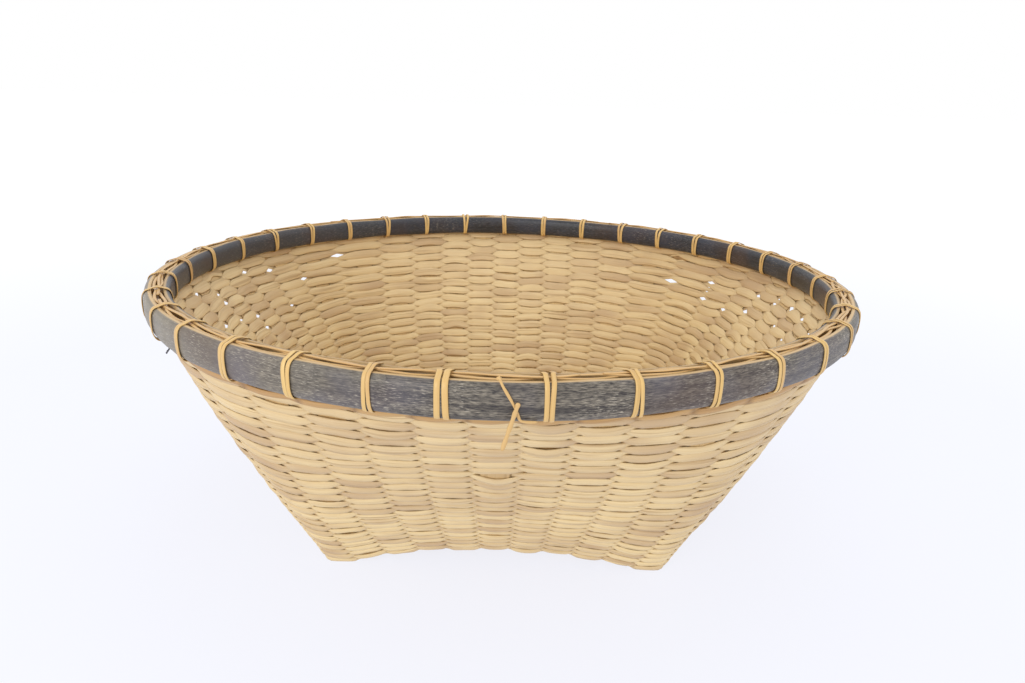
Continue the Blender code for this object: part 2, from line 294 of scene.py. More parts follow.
def make_object(name, points, faces, grain, facts, material):
    """A smooth-shaded piece from its points and faces, with the corners' grain coordinates
    as a UV map in metres and each fact as a number on every point."""
    mesh = bpy.data.meshes.new(name)
    mesh.from_pydata(points.tolist(), [], faces)
    layer = mesh.uv_layers.new(name="Grain")
    layer.data.foreach_set("uv", np.asarray(grain, np.float32).ravel())
    for fact, values in facts.items():
        attribute = mesh.attributes.new(fact, "FLOAT", "POINT")
        attribute.data.foreach_set("value", np.asarray(values, np.float32).ravel())
    mesh.materials.append(material)
    mesh.shade_smooth()
    item = bpy.data.objects.new(name, mesh)
    bpy.context.scene.collection.objects.link(item)
    return item


def grain_lengths(sections, closed):
    """Distance along each strand to each section, and round the strand to each corner."""
    middle = sections.mean(2)
    steps = np.linalg.norm(np.roll(middle, -1, 1) - middle, axis=-1)
    along = np.concatenate([np.zeros((len(steps), 1)), np.cumsum(steps, 1)], 1)
    if not closed:
        along = along[:, :-1]
    girth = np.linalg.norm(np.roll(sections, -1, 2) - sections, axis=-1).mean(1)
    around = np.concatenate([np.zeros((len(girth), 1)), np.cumsum(girth, 1)], 1)
    return along, around


def grain_map(sections, closed):
    """Grain coordinates of every quad's four corners: along the strand and round it."""
    along, around = grain_lengths(sections, closed)
    u = np.broadcast_to(along[:, :, None], (*along.shape, around.shape[1]))
    uv = np.stack([u, np.broadcast_to(around[:, None, :], u.shape)], -1)
    corners = [uv[:, :-1, :-1], uv[:, :-1, 1:], uv[:, 1:, 1:], uv[:, 1:, :-1]]
    return np.stack(corners, 3).reshape(-1, 4, 2)


def sweep(name, sections, closed, material, facts):
    """Strands from swept sections (strands, steps, corners, 3): each section is joined to
    the next by quads, and an open strand is closed at both ends. A fact of any shape that
    fits (strands, steps, corners) is spread over the points."""
    strands, count, corners = sections.shape[:3]
    index = np.arange(strands * count * corners).reshape(strands, count, corners)
    here = index if closed else index[:, :-1]
    after = np.roll(index, -1, 1) if closed else index[:, 1:]
    quads = np.stack([here, np.roll(here, -1, 2), np.roll(after, -1, 2), after], -1)
    points = sections.reshape(-1, 3)
    step = -1 if volume_sign(points, quads[0].reshape(-1, 4)) < 0 else 1
    faces = quads.reshape(-1, 4)[:, ::step].tolist()
    grain = grain_map(sections, closed)[:, ::step].reshape(-1, 2)
    if not closed:
        for cap in (index[:, 0, ::-1], index[:, -1]):
            faces += cap[:, ::step].tolist()
        grain = np.concatenate([grain, np.zeros((2 * strands * corners, 2))])
    spread = {fact: np.broadcast_to(value, index.shape) for fact, value in facts.items()}
    return make_object(name, points, faces, grain, spread, material)


def volume_sign(points, quads):
    """Positive where the quads face out: the sum of their tetrahedra with the middle."""
    a, b, c, d = (points[quads[:, k]] - points[quads].mean((0, 1)) for k in range(4))
    first = np.einsum("ij,ij->i", a, np.cross(b, c))
    second = np.einsum("ij,ij->i", a, np.cross(c, d))
    return (first + second).sum()


def lens_corners():
    """Eight corners of a flat lens, as shares of its half height and half thickness: two
    sharp edges, a broad crown on each face and the shoulders between."""
    side_share = np.array([-1.0, -0.84, 0.0, 0.84, 1.0, 0.84, 0.0, -0.84])
    face_share = np.array([0.0, 0.72, 1.0, 0.72, 0.0, -0.72, -1.0, -0.72])
    return side_share, face_share


def keep_piece(piece, slot, *nodes):
    """Fixes a finished piece to the basket's one body, in place of these frame nodes."""
    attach(piece, "root")
    if nodes:
        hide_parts(*nodes)
    return piece


# ---------------------------------------------------------------- weft rows

def slipped(s, t):
    """How far rows have slid along the slope, in t: slow waves that fade out at the foot and
    the rim, and the one gap at the front, a bell along the row that dies away exponentially
    below and above."""
    slow = (ROW_WANDER * waves(s, t, seed=3, turns=9, tall=9.0)
            + ROW_RIPPLE * waves(s, t, seed=4, turns=30, tall=30.0))
    near = np.abs((s + 2) % 4 - 2 - GAP_PLACE[0])
    beside = np.exp(-(near / GAP_REACH) ** 2)
    below = np.exp(-np.clip(GAP_PLACE[1] - t, 0, None) / GAP_BELOW)
    above = np.exp(-np.clip(t - GAP_PLACE[1], 0, None) / GAP_ABOVE)
    gap = np.where(t < GAP_PLACE[1], -GAP_SLIP * below, GAP_LIFT * GAP_SLIP * above)
    fade = np.clip(4 * t, 0, 1) * np.clip(6 * (1.02 - t), 0, 1)
    return slow * fade + gap * beside


def loose_places(rows, places):
    """How open the slot above each row is at each gap between stakes: nearly all closed,
    but many open ones high on the left and right walls."""
    rng = np.random.default_rng(WEFT_SEED + 1)
    chance = rng.random((len(rows), len(places)))
    level = row_level(rows)[:, None]
    high = np.clip((level - PINHOLES_FROM) / 0.3, 0, 1)
    high = high * np.clip((PINHOLES_TO - level) / 0.03, 0, 1)
    sideways = np.abs(np.sin(places * math.pi / 2)[None]) ** 2.5
    share = PINHOLE_STRAYS + PINHOLE_SHARE * high * sideways
    return np.where(chance < share, rng.uniform(0.6, 1.0, chance.shape), 0.0)


def row_stain(s, rows):
    """How browned each row is along its length: for each row its own sum of three sine
    waves of two to eleven turns round the basket."""
    rng = np.random.default_rng(WEFT_SEED + 2)
    turns = rng.integers(2, 12, (3, ROWS + RIM_ROWS, 1))[:, rows]
    start = rng.uniform(0, 2 * math.pi, turns.shape)
    return np.sin(turns * s * math.pi / 2 + start).sum(0) / math.sqrt(3)


def set_out(middle, up, out, raise_by, push_by):
    """Sections whose corners are raised up the slope from the middle and pushed out of the
    wall, and held clear of the floor."""
    sections = (middle[:, :, None] + raise_by[..., None] * up[:, :, None]
                + push_by[..., None] * out[:, :, None])
    sections[..., 2] = np.maximum(sections[..., 2], FLOOR_CLEARANCE)
    return sections


def weft_half(wave, pitch, opening, height):
    """Half the height of a row: half its pitch times a swell that eases from a crossing's
    to a float's as 3 u^2 - 2 u^3, less beside an open slot."""
    ease = np.clip(np.abs(wave) / FLOAT_LENGTH, 0, 1)
    swell = CROSS_SWELL + (FLOAT_SWELL - CROSS_SWELL) * ease * ease * (3 - 2 * ease)
    swell = swell * (1 - SLOT_PINCH * opening)
    return np.minimum(pitch / 2 * swell * (1 + HEIGHT_SPREAD * height), pitch * SWELL_LIMIT)


def weft_thick(wave, reach):
    """Half the thickness of a row towards each corner: fuller on the face turned away from
    the stake and flatter on the other, most of all outside, and thinner at crossings."""
    fuller = np.where(reach > 0, 0.45, 0.10) * np.abs(reach) * np.sign(reach)
    thick = WEFT_THICK * (1 + fuller[..., None] * np.sign(lens_corners()[1]))
    return thick * (0.72 + 0.28 * np.abs(wave))[..., None]


def weft_sections(rows):
    """Sections of closed weft rows. At stake number q a row stands tanh(1.9 cos(pi q)) of
    its reach out of the wall, and its floats differ a little in height, place and reach."""
    rng = np.random.default_rng(WEFT_SEED)
    q = (np.arange(STAKES)[:, None] + np.array(WEFT_STEPS)).ravel()
    s = stake_place(q)[None]
    row = rows[:, None]
    wave = np.cos(math.pi * (q[None] + row))
    reach = np.tanh(WEAVE_SNAP * wave) / math.tanh(WEAVE_SNAP)
    stake = np.round(q).astype(int) % STAKES
    gap = np.floor(q).astype(int) % STAKES
    chance = rng.normal(size=(3, DRAWN_ROWS, STAKES))[:, rows]
    height, tilt, push = (chance[k][:, stake] * wave ** 2 for k in range(3))
    above = loose_places(rows, stake_place(np.arange(STAKES) + 0.5))[:, gap]
    below = np.roll(above, 1, 0)
    open_bell = (1 - np.abs(wave)) ** 1.2
    pitch = row_level(row + 0.5) - row_level(row - 0.5)
    shift = TILT_SPREAD * tilt + SLOT_PARTING * (below - above) * open_bell
    level = row_level(row) + slipped(s, row_level(row)) + pitch * shift
    middle, up, out = wall_frame(s, level)
    slope = np.linalg.norm(wall_middle(s, level + 1e-3) - middle, axis=-1) / 1e-3
    half = weft_half(wave, pitch * slope, np.maximum(above, below) * open_bell, height)
    ripple = waves(s, level, seed=11, turns=14, tall=14.0)
    lift = WEFT_OUT * reach + PUSH_SPREAD * (push + ripple)
    side_share, face_share = lens_corners()
    push_by = lift[..., None] + weft_thick(wave, reach) * face_share
    sections = set_out(middle, up, out, half[..., None] * side_share, push_by)
    # painted shade and dust: a row is darkest at its edges and where it passes between stakes
    bared = np.clip(np.abs(wave[..., None]) * 4, 0.5, 1)
    crevice_dust_and_shade = 1 - bared * (1 - 0.8 * np.abs(side_share) ** 4)
    tone = rng.random((DRAWN_ROWS, 1, 1))[rows]
    patch = 0.75 * row_stain(s, rows) + 0.22 * height
    return sections, {"tone": tone, "patch": patch[..., None], "crevice_dust_and_shade": crevice_dust_and_shade}


def make_weft_rows(material):
    """The rows in pieces that stand for the frame's bands."""
    rows = np.arange(ROWS + RIM_ROWS)
    sections, facts = weft_sections(rows)
    level = row_level(rows)
    edges = np.append((np.arange(5) / 4) ** BAND_CLIMB, np.inf)
    names = ["weft_band_1", "weft_band_2", "weft_band_3", "weft_band_4", "weft_band_rim"]
    for number, node in enumerate(names):
        chosen = (level >= edges[number]) & (level < edges[number + 1])
        part = {fact: value[chosen] for fact, value in facts.items()}
        piece = sweep(node.replace("band", "rows"), sections[chosen], True, material, part)
        keep_piece(piece, "weft_bamboo", node)


def make_twining(name, material, seed, level, height, tall, off):
    """Two strands twined round the stakes at this level: each goes out and in as a weft
    does, off metres out of it, and rises and falls by height, in t, between the stakes, a
    half turn behind the other. Half a strand is tall metres."""
    rng = np.random.default_rng(seed)
    q = np.arange(STAKES * 10) / 10
    s = stake_place(q)[None]
    stake = np.round(q).astype(int) % STAKES
    phase = np.array([[0.0], [1.0]])
    wave = np.cos(math.pi * (q[None] + phase))
    climb = np.sin(math.pi * (q[None] + phase))
    climb = climb + 0.25 * waves(s, np.zeros_like(s), seed, turns=20, tall=0.0)
    middle, up, out = wall_frame(s, level + climb * height)
    turn = np.arange(8) * math.pi / 4
    half = tall * (1 + HEIGHT_SPREAD * rng.normal(size=STAKES)[stake])[None]
    push_by = (WEFT_OUT * 1.2 * wave + off)[..., None] + WEFT_THICK * 1.1 * np.sin(turn)
    sections = set_out(middle, up, out, half[..., None] * np.cos(turn), push_by)
    # painted shade and dust: the strands darken at their edges and where they pass between stakes
    bared = np.clip(np.abs(wave[..., None]) * 1.8, 0, 1)
    facts = {"tone": np.array([0.35, 0.6])[:, None, None],
             "patch": 0.6 * rng.normal(size=STAKES)[stake][None, :, None],
             "crevice_dust_and_shade": 1 - bared * (1 - np.abs(np.cos(turn)) ** 4)}
    keep_piece(sweep(name, sections, True, material, facts), "weft_bamboo")


# ---------------------------------------------------------------- strips

def strip_wall(s, rng):
    """Sections of one strip up the wall, thin and slightly cupped, from the fold to its cut
    top between the hoops. Its half width in s is its real one over the wall's width per s."""
    t = np.concatenate([np.linspace(FOLD_TOP, 1, 34), np.linspace(1.1, STRIP_TOP, 4)])
    t[-3:] += rng.uniform(-0.12, 0.10)
    centre = np.full_like(t, s)
    ahead = wall_middle(centre + SMALL_STEP, t) - wall_middle(centre - SMALL_STEP, t)
    half = STRIP_WIDTH / 2 / (np.linalg.norm(ahead, axis=-1) / (2 * SMALL_STEP))
    side_share, face_share = lens_corners()
    places = centre[:, None] + half[:, None] * side_share
    middle, _, out = wall_frame(places, t[:, None])
    return middle + out * (STRIP_THICK / 2 * face_share)[None, :, None]


def strip_base(number, over_first):
    """Sections of one strip across the base, laid along +Y: a cosine wave over and under
    the strips that it crosses, on the base's arch."""
    centre = (number - STRIPS // 2) * BASE_PITCH
    q = np.linspace(-BASE_OVERHANG, STRIPS - 1 + BASE_OVERHANG, 90)
    y = (q - STRIPS // 2) * BASE_PITCH
    wave = np.cos(math.pi * (q + number)) * over_first
    lift = BASE_CROSS_LIFT * np.sin(math.pi / 2 * wave)
    side_share, face_share = lens_corners()
    x = np.broadcast_to(centre + STRIP_WIDTH / 2 * side_share, (len(y), 8))
    along = np.broadcast_to(y[:, None], x.shape)
    z = arch_height(x, along) + lift[:, None] + STRIP_THICK / 2 * face_share
    return np.stack([x, along, z], -1)


def folded(base_end, wall_start):
    """Sections of the fold from the base into the wall: a quadratic curve from each corner
    of the last base section, by the base's edge, to the wall section's."""
    part = np.linspace(0, 1, 9)[1:-1][:, None, None]
    bend = base_end.copy()
    bend[:, 1] = wall_start[:, 1] * FOLD_INSET
    bend[:, 0] = (base_end[:, 0] + wall_start[:, 0]) / 2
    return (1 - part) ** 2 * base_end + 2 * part * (1 - part) * bend + part ** 2 * wall_start


def make_strip(number, turned, material, rng):
    """A whole strip: down one wall, across the base and up the wall opposite, with the
    walls' corners renumbered to meet the base's. A turned one runs left to right."""
    w = (number - STRIPS // 2) * 2 / STRIPS * STRIP_SPREAD
    base = strip_base(number, -1.0 if turned else 1.0)
    corner = np.arange(8)
    front = strip_wall(w / 2, rng)[:, -corner % 8]
    back = strip_wall(2 - w / 2, rng)[:, (corner + 4) % 8]
    front_fold = folded(base[0], front[0])[::-1]
    back_fold = folded(base[-1], back[0])
    sections = np.concatenate([front[::-1], front_fold, base, back_fold, back])
    if turned:
        sections = np.stack([-sections[..., 1], sections[..., 0], sections[..., 2]], -1)
    name = f"strip_{'left_right' if turned else 'front_back'}_{number + 1:02d}"
    # painted shade and dust along the strip's edges
    facts = {"tone": rng.random(), "patch": 0.4 * rng.normal(),
             "crevice_dust_and_shade": np.abs(lens_corners()[0])[None, None] ** 6}
    keep_piece(sweep(name, sections[None], False, material, facts), "stake_bamboo", f"base_{name}")


def make_strips(material):
    """All the strips, one each way in turn."""
    rng = np.random.default_rng(STRIP_SEED)
    for number in range(STRIPS):
        make_strip(number, False, material, rng)
        make_strip(number, True, material, rng)


# ---------------------------------------------------------------- hoops

def ring_points(angle, radius, height):
    """Points at these angles from the front, positive to the right, with shapes spread
    together."""
    angle, radius, height = np.broadcast_arrays(angle, radius, height)
    return np.stack([radius * np.sin(angle), -radius * np.cos(angle), height], -1)


def rim_waves(angle, seed, turns):
    """The smooth random field at angles round the rim, with no climb."""
    return waves(angle * 2 / math.pi, np.zeros_like(angle), seed, turns, tall=0.0)


def hoop_section(flat, crown):
    """The half-round section of a hoop: a superellipse from its lower edge round the crown
    to its upper edge, closed by the flat face. Gives radii, heights and how much of the
    pale inner flesh each corner shows."""
    turn = np.linspace(-math.pi / 2, math.pi / 2, 21)
    power = 2 / HOOP_SQUARENESS
    radius = flat + (crown - flat) * np.cos(turn) ** power
    height = np.sign(np.sin(turn)) * np.abs(np.sin(turn)) ** power
    skin = (radius - flat) / (crown - flat)
    flesh = np.append(np.clip((0.45 - skin) / 0.12, 0, 1), [1.0, 1.0])
    radius = np.append(radius, [flat, flat])
    height = np.append(height, [FLAT_FACE, -FLAT_FACE])
    return radius, height, flesh


def make_hoop(node, flat, crown, material, seed, worn):
    """A hoop: its section carried round, with slow waves in radius and height and a faint
    swelling at each node of the bamboo. A worn one gets the outer hoop's lower edge."""
    start = lashing_angle(HIDDEN_LASHING)
    angle = start + np.linspace(0, 2 * math.pi, HOOP_STEPS, endpoint=False)
    radius, height, flesh = hoop_section(flat, crown)
    depth = 1 + 0.03 * rim_waves(angle, seed, 40) + 0.05 * node_rings(angle, seed)
    tall = 1 + 0.02 * rim_waves(angle, seed + 1, 24)
    sway = 0.00012 * rim_waves(angle, seed + 2, 9)
    lift = 0.0002 * rim_waves(angle, seed + 3, 7)
    across = flat + (radius - flat)[None] * depth[:, None] + sway[:, None]
    up = HOOP_MIDDLE + HOOP_HALF * height[None] * tall[:, None] + lift[:, None]
    if worn:
        up = up + worn_edge(angle, height)
    sections = ring_points(angle[:, None], across, up)[None]
    piece = sweep(f"{node}_split", sections, True, material, {"flesh": flesh[None, None]})
    keep_piece(piece, "hoop_bamboo", node)


def node_rings(angle, seed):
    """Height of the bamboo's node ridges round a hoop: narrow bells, five to the round."""
    rng = np.random.default_rng(seed)
    ring = np.zeros_like(angle)
    for number in range(HOOP_NODES):
        place = (number + rng.uniform(0.2, 0.8)) * 2 * math.pi / HOOP_NODES
        away = (angle - place + math.pi) % (2 * math.pi) - math.pi
        ring += np.exp(-(away / NODE_REACH) ** 2)
    return ring


def deeper(angle):
    """How much lower the outer hoop reaches: evenly, and more left of the front, where the
    pole was wider, by a high power of a half angle's cosine."""
    wider = np.cos((angle - WIDER_AT) / 2) ** 20
    return OUTER_DEEPER * (1 + WIDER_EXTRA * wider)


def nibbled(angle):
    """Rise of the outer hoop's lower edge where it is worn away, at the right: a bell made
    ragged by the product of two sine waves."""
    away = (angle - NIBBLE_AT + math.pi) % (2 * math.pi) - math.pi
    bell = np.exp(-(away / NIBBLE_REACH) ** 2)
    return NIBBLE_RISE * bell * (1 + 0.5 * np.sin(away * 260) * np.sin(away * 97))


def worn_edge(angle, height):
    """How far each corner of the outer hoop moves up: down with its depth below the middle,
    and up with that depth squared where the edge is worn away."""
    lower = np.clip(-height, 0, 1)[None]
    return nibbled(angle)[:, None] * lower ** 2 - deeper(angle)[:, None] * lower


def closed_curve(points, count):
    """A smooth closed curve through the points: Catmull-Rom, a cubic through each point
    with the slope of its two neighbours."""
    points = np.asarray(points, float)
    part = np.arange(count) * len(points) / count
    first = np.floor(part).astype(int)
    near = [points[(first + k) % len(points)] for k in (-1, 0, 1, 2)]
    return cubic(near, (part - first)[:, None])


def open_curve(points, count):
    """A smooth curve through the points, ends included, by the same cubic."""
    points = np.asarray(points, float)
    held = np.concatenate([2 * points[:1] - points[1:2], points, 2 * points[-1:] - points[-2:-1]])
    part = np.linspace(0, len(points) - 1 - 1e-9, count)
    first = np.floor(part).astype(int)
    near = [held[first + k] for k in range(4)]
    return cubic(near, (part - first)[:, None])


def cubic(near, u):
    """The Catmull-Rom cubic at share u between the middle two of four neighbours."""
    p0, p1, p2, p3 = near
    return 0.5 * (2 * p1 + (p2 - p0) * u + (2 * p0 - 5 * p1 + 4 * p2 - p3) * u ** 2
                  + (3 * p1 - p0 - 3 * p2 + p3) * u ** 3)


# ---------------------------------------------------------------- lashings

def lashing_angle(number):
    """Angle of a lashing from the front: even steps, less a drift of two sine waves that
    crowds the lashings towards the front."""
    even = FIRST_LASHING + number * 2 * math.pi / LASHINGS
    return even - LASHING_DRIFT * (np.sin(even) + np.sin(2 * even))


def lashing_outline():
    """The taut path of a lashing round both hoops, as radius and height: the hoops' own
    sections set out by the cane's room, over the binders and back under through the wall."""
    kept = [0, 1, 2, 4, 7, 10, 13, 16, 18, 19]
    half = HOOP_HALF + CANE_ROOM
    radius, height, _ = hoop_section(OUTER_FLAT, OUTER_CROWN + CANE_ROOM)
    outer = np.stack([radius, HOOP_MIDDLE + half * height], -1)[kept]
    radius, height, _ = hoop_section(INNER_FLAT, INNER_CROWN - CANE_ROOM)
    inner = np.stack([radius, HOOP_MIDDLE + half * height], -1)[kept]
    top = RUN_HEIGHT + 0.0008
    over = [(WALL_RADIUS + 0.0012, top), (WALL_RADIUS - 0.0012, top)]
    return closed_curve(np.concatenate([outer, over, inner[::-1]]), 60)


def lashing_path(number):
    """The path of this lashing, its outer foot lowered with the outer hoop's edge."""
    path = lashing_outline()
    lower = np.clip((HOOP_MIDDLE - path[:, 1]) / (HOOP_MIDDLE - HOOP_BOTTOM), 0, 1)
    path[:, 1] -= deeper(lashing_angle(number)) * lower * (path[:, 0] > WALL_RADIUS)
    return path


def cane_sections(path, outward, shift, width, angle):
    """A lens section carried along a path of radius and height in the upright plane at this
    angle, each section shifted sideways out of the plane."""
    side_share, face_share = lens_corners()
    thick = CANE_THICK / 2 * face_share
    radius = path[:, :1] + outward[:, :1] * thick
    level = path[:, 1:] + outward[:, 1:] * thick
    sideways = shift[:, None] + width / 2 * side_share
    radial = np.array([math.sin(angle), -math.cos(angle), 0.0])
    tangent = np.array([math.cos(angle), math.sin(angle), 0.0])
    upward = np.array([0.0, 0.0, 1.0])
    return radius[..., None] * radial + sideways[..., None] * tangent + level[..., None] * upward


def lashing_strands(number, rng):
    """Sections of a lashing's two strands, flat and side by side. Each leans in proportion
    to its height, and strays at top and bottom with the height cubed."""
    path = lashing_path(number)
    along = unit(np.roll(path, -1, 0) - np.roll(path, 1, 0))
    outward = np.stack([along[:, 1], -along[:, 0]], -1)
    height = (path[:, 1] - path[:, 1].mean()) / np.ptp(path[:, 1]) * 2
    spread = np.where(path[:, 0] < WALL_RADIUS, 1.0 + INSIDE_SPLAY * height, 1.0)
    wide = number == WIDE_LASHING
    angle = lashing_angle(number) + WIDE_LASHING_BACK * wide
    strands = []
    for side in (-1, 1):
        width = CANE_WIDTH * (rng.uniform(0.85, 1.12) + WIDE_LASHING_EXTRA * wide)
        gap = rng.uniform(-0.00010, 0.00025) + WIDE_LASHING_GAP * wide
        lean = rng.normal() * CANE_LEAN
        shift = side * (width / 2 + gap / 2) * spread + lean * height
        shift = shift + CANE_LEAN * rng.normal() * np.abs(height) ** 3
        room = path + outward * (rng.uniform(0, 0.0001) + 0.0002 * (side > 0))
        strands.append(cane_sections(room, outward, shift, width, angle))
    return strands


def run_strand(first, last, phase):
    """Sections of a strand along the rim's top. It crosses from side to side between the
    lashings as a cosine does, and is pressed down where they hold it."""
    number = np.linspace(first, last, int((last - first) * STRAND_STEPS) + 1)
    angle = lashing_angle(number)
    swing = RUN_SWAY * np.cos(math.pi * (number + phase))
    swing = swing + 0.0004 * rim_waves(angle, int(phase * 10) + 5, 60)
    free = 1 - np.cos(math.pi * number) ** 2
    hop = free * (RUN_HOP * np.sin(math.pi * (number + phase)) + RUN_PRESS)
    side_share, face_share = lens_corners()
    radius = WALL_RADIUS + swing[:, None] + RUN_WIDTH / 2 * side_share
    up = (RUN_HEIGHT - RUN_PRESS + hop)[:, None] + RUN_THICK / 2 * face_share
    return ring_points(angle[:, None], radius, up)


def make_canes(material):
    """Each cane: its lashings' strands and its own run along the rim's top."""
    rng = np.random.default_rng(CANE_SEED)
    each = LASHINGS // LASHING_CANES
    # painted shade and dust along the edges of every strand; the run gets six tenths of it
    crevice_dust_and_shade = np.abs(lens_corners()[0])[None, None] ** 5
    for cane in range(LASHING_CANES):
        first = cane * each
        numbers = range(first, first + each)
        loops = [strand for number in numbers for strand in lashing_strands(number, rng)]
        tone = rng.random((len(loops), 1, 1))
        patch = rng.normal(size=tone.shape) * 0.5
        facts = {"tone": tone, "patch": patch, "crevice_dust_and_shade": crevice_dust_and_shade}
        piece = sweep(f"lashing_loops_{cane + 1}", np.stack(loops), True, material, facts)
        keep_piece(piece, "lashing_cane", f"lashing_cane_{cane + 1}")
        run = run_strand(first - RUN_TAIL, first + each - 1 + RUN_TAIL, 0.3 * cane)
        facts = {"tone": rng.random(), "patch": 1.0, "crevice_dust_and_shade": crevice_dust_and_shade * 0.6}
        piece = sweep(f"lashing_run_{cane + 1}", run[None], False, material, facts)
        keep_piece(piece, "lashing_cane")


def make_binder(node, phase, material):
    """A binder strand in the gap between the hoops. It crosses from side to side as a sine
    of half a turn to a lashing, and half a turn more in all, so that its ends meet, and is
    pressed down under the lashings."""
    number = np.arange(LASHINGS * STRAND_STEPS) / STRAND_STEPS
    angle = lashing_angle(number)
    cross = math.pi * number * (LASHINGS + 1) / LASHINGS + phase * math.pi
    swing = BINDER_SWAY * np.sin(cross) + 0.0003 * rim_waves(angle, 51 + phase, 60)
    press = np.cos(math.pi * number) ** 2
    level = HOOP_TOP - BINDER_SINK + BINDER_HOP * np.cos(cross) * (1 - 0.6 * press)
    side_share, face_share = lens_corners()
    radius = WALL_RADIUS + swing[:, None] + BINDER_WIDTH / 2 * side_share
    up = level[:, None] + BINDER_THICK / 2 * face_share
    sections = ring_points(angle[:, None], radius, up)[None]
    # painted shade and dust along the binder's edges
    crevice_dust_and_shade = np.abs(side_share)[None, None] ** 4
    facts = {"tone": 0.5 + 0.2 * phase, "patch": 0.9, "crevice_dust_and_shade": crevice_dust_and_shade}
    piece = sweep(f"{node}_strand", sections, True, material, facts)
    keep_piece(piece, "lashing_cane", node)


# ---------------------------------------------------------------- loose ends

def make_splinter(name, points, width, thick, material, slot, *nodes):
    """A thin flat splinter along a smooth line by the rim, given as degrees from the front,
    height and radius. It narrows to about half its width at its very ends."""
    line = open_curve(points, 40)
    angle = np.radians(line[:, 0])
    middle = ring_points(angle, line[:, 2], line[:, 1])
    along = unit(np.gradient(middle, axis=0))
    across = unit(np.cross(along, ring_points(angle, 1.0, 0.0)))
    out = np.cross(across, along)
    side_share, face_share = lens_corners()
    part = np.linspace(0, 1, len(line))
    taper = np.clip(np.minimum(part, 1 - part) * 14 + 0.55, 0, 1)
    wide = (width / 2 * taper * (1 + 0.12 * np.sin(part * 23)))[:, None] * side_share
    deep = (thick / 2 * taper)[:, None] * face_share
    sections = middle[:, None] + wide[..., None] * across[:, None] + deep[..., None] * out[:, None]
    # painted shade and dust along the splinter's edges, at half strength
    crevice_dust_and_shade = np.abs(side_share)[None, None] ** 6 * 0.5
    facts = {"tone": 0.8, "patch": 0.6, "crevice_dust_and_shade": crevice_dust_and_shade}
    keep_piece(sweep(name, sections[None], False, material, facts), slot, *nodes)


def make_loose_tie(material):
    """The broken tie at the front: a strand knotted at the rim's top that bends to the foot
    of the next lashing, and a cut sliver hanging from it."""
    knot = [(0.18, 0.1872, 0.2486), (0.40, 0.1874, 0.2490), (0.62, 0.1871, 0.2494)]
    strand = [(0.35, 0.1876, 0.2470), (0.50, 0.1868, 0.2492), (0.85, 0.1840, 0.2507),
              (1.5, 0.1793, 0.2512), (2.1, 0.1744, 0.2512), (2.45, 0.1704, 0.2510),
              (2.75, 0.1678, 0.2508), (3.6, 0.1668, 0.2500), (4.6, 0.1664, 0.2490)]
    sliver = [(2.45, 0.1772, 0.2524), (2.1, 0.1722, 0.2528), (1.55, 0.1640, 0.2530),
              (0.88, 0.1538, 0.2530)]
    slot = "lashing_cane"
    make_splinter("loose_tie_knot", knot, 0.0017, 0.0012, material, slot)
    make_splinter("loose_tie_cane", strand, 0.0014, 0.0009, material, slot, "loose_tie_strand")
    make_splinter("loose_tie_sliver", sliver, 0.0021, 0.0012, material, slot, "loose_tie_splint")


def make_torn_skin(material):
    """A splinter of dark skin torn from the outer hoop's lower edge, at the left."""
    torn = [(-48.6, 0.1690, 0.2468), (-48.6, 0.1668, 0.2476), (-48.9, 0.1651, 0.2483),
            (-49.2, 0.1636, 0.2487)]
    make_splinter("hoop_splinter", torn, 0.0011, 0.0007, material, "hoop_bamboo")


# ---------------------------------------------------------------- materials

MIX_FACTOR, MIX_A, MIX_B, MIX_OUT = 0, 6, 7, 2      # sockets of a Mix node for colours


def add(tree, kind, inputs=(), **settings):
    """Adds a node of this kind, sets its properties, and gives each input its value or
    links it to another node's output."""
    node = tree.nodes.new(f"ShaderNode{kind}")
    for name, value in settings.items():
        setattr(node, name, value)
    for place, value in dict(inputs).items():
        if isinstance(value, bpy.types.NodeSocket):
            tree.links.new(value, node.inputs[place])
        else:
            node.inputs[place].default_value = value
    return node


def blended(tree, share, low, high):
    """Colour that goes from low to high as share, a number or an output, goes from 0 to 1."""
    inputs = {MIX_FACTOR: share, MIX_A: low, MIX_B: high}
    return add(tree, "Mix", inputs, data_type="RGBA").outputs[MIX_OUT]


def ranged(tree, value, low, high, start=0.0, end=1.0):
    """Value taken from the range low..high to start..end, clamped."""
    inputs = {"Value": value, "From Min": low, "From Max": high, "To Min": start, "To Max": end}
    return add(tree, "MapRange", inputs).outputs["Result"]


def new_material(name, roughness, ior=1.5):
    """A material with its node tree and shader, its roughness and IOR set."""
    material = bpy.data.materials.new(name)
    material.use_nodes = True
    tree = material.node_tree
    shader = tree.nodes["Principled BSDF"]
    shader.inputs["Roughness"].default_value = roughness
    shader.inputs["IOR"].default_value = ior
    return material, tree, shader


def grain_noise(tree, size, detail, tone):
    """Streaks along the grain: noise on the piece's grain coordinates, of this length and
    width in metres, different for each tone."""
    length, width = size
    uv = add(tree, "UVMap", uv_map="Grain").outputs["UV"]
    stretched = add(tree, "Mapping", {"Vector": uv, "Scale": (1 / length, 1 / width, 1.0)})
    seed = add(tree, "Math", {0: tone, 1: 61.0}, operation="MULTIPLY").outputs[0]
    inputs = {"Vector": stretched.outputs[0], "W": seed, "Scale": 1.0, "Detail": detail,
              "Roughness": 0.6}
    return add(tree, "TexNoise", inputs, noise_dimensions="4D").outputs["Fac"]


def patch_noise(tree, size, detail, seed):
    """Soft patches of this size in metres on object coordinates."""
    place = add(tree, "TexCoord").outputs["Object"]
    inputs = {"Vector": place, "W": seed, "Scale": 1 / size, "Detail": detail}
    return add(tree, "TexNoise", inputs, noise_dimensions="4D").outputs["Fac"]


def coordinate(tree, axis):
    """One of the object coordinates, in metres."""
    place = add(tree, "TexCoord").outputs["Object"]
    return add(tree, "SeparateXYZ", {0: place}).outputs[axis]


def carried(tree, name):
    """A number that the piece carries on its points."""
    return add(tree, "Attribute", attribute_name=name).outputs["Fac"]


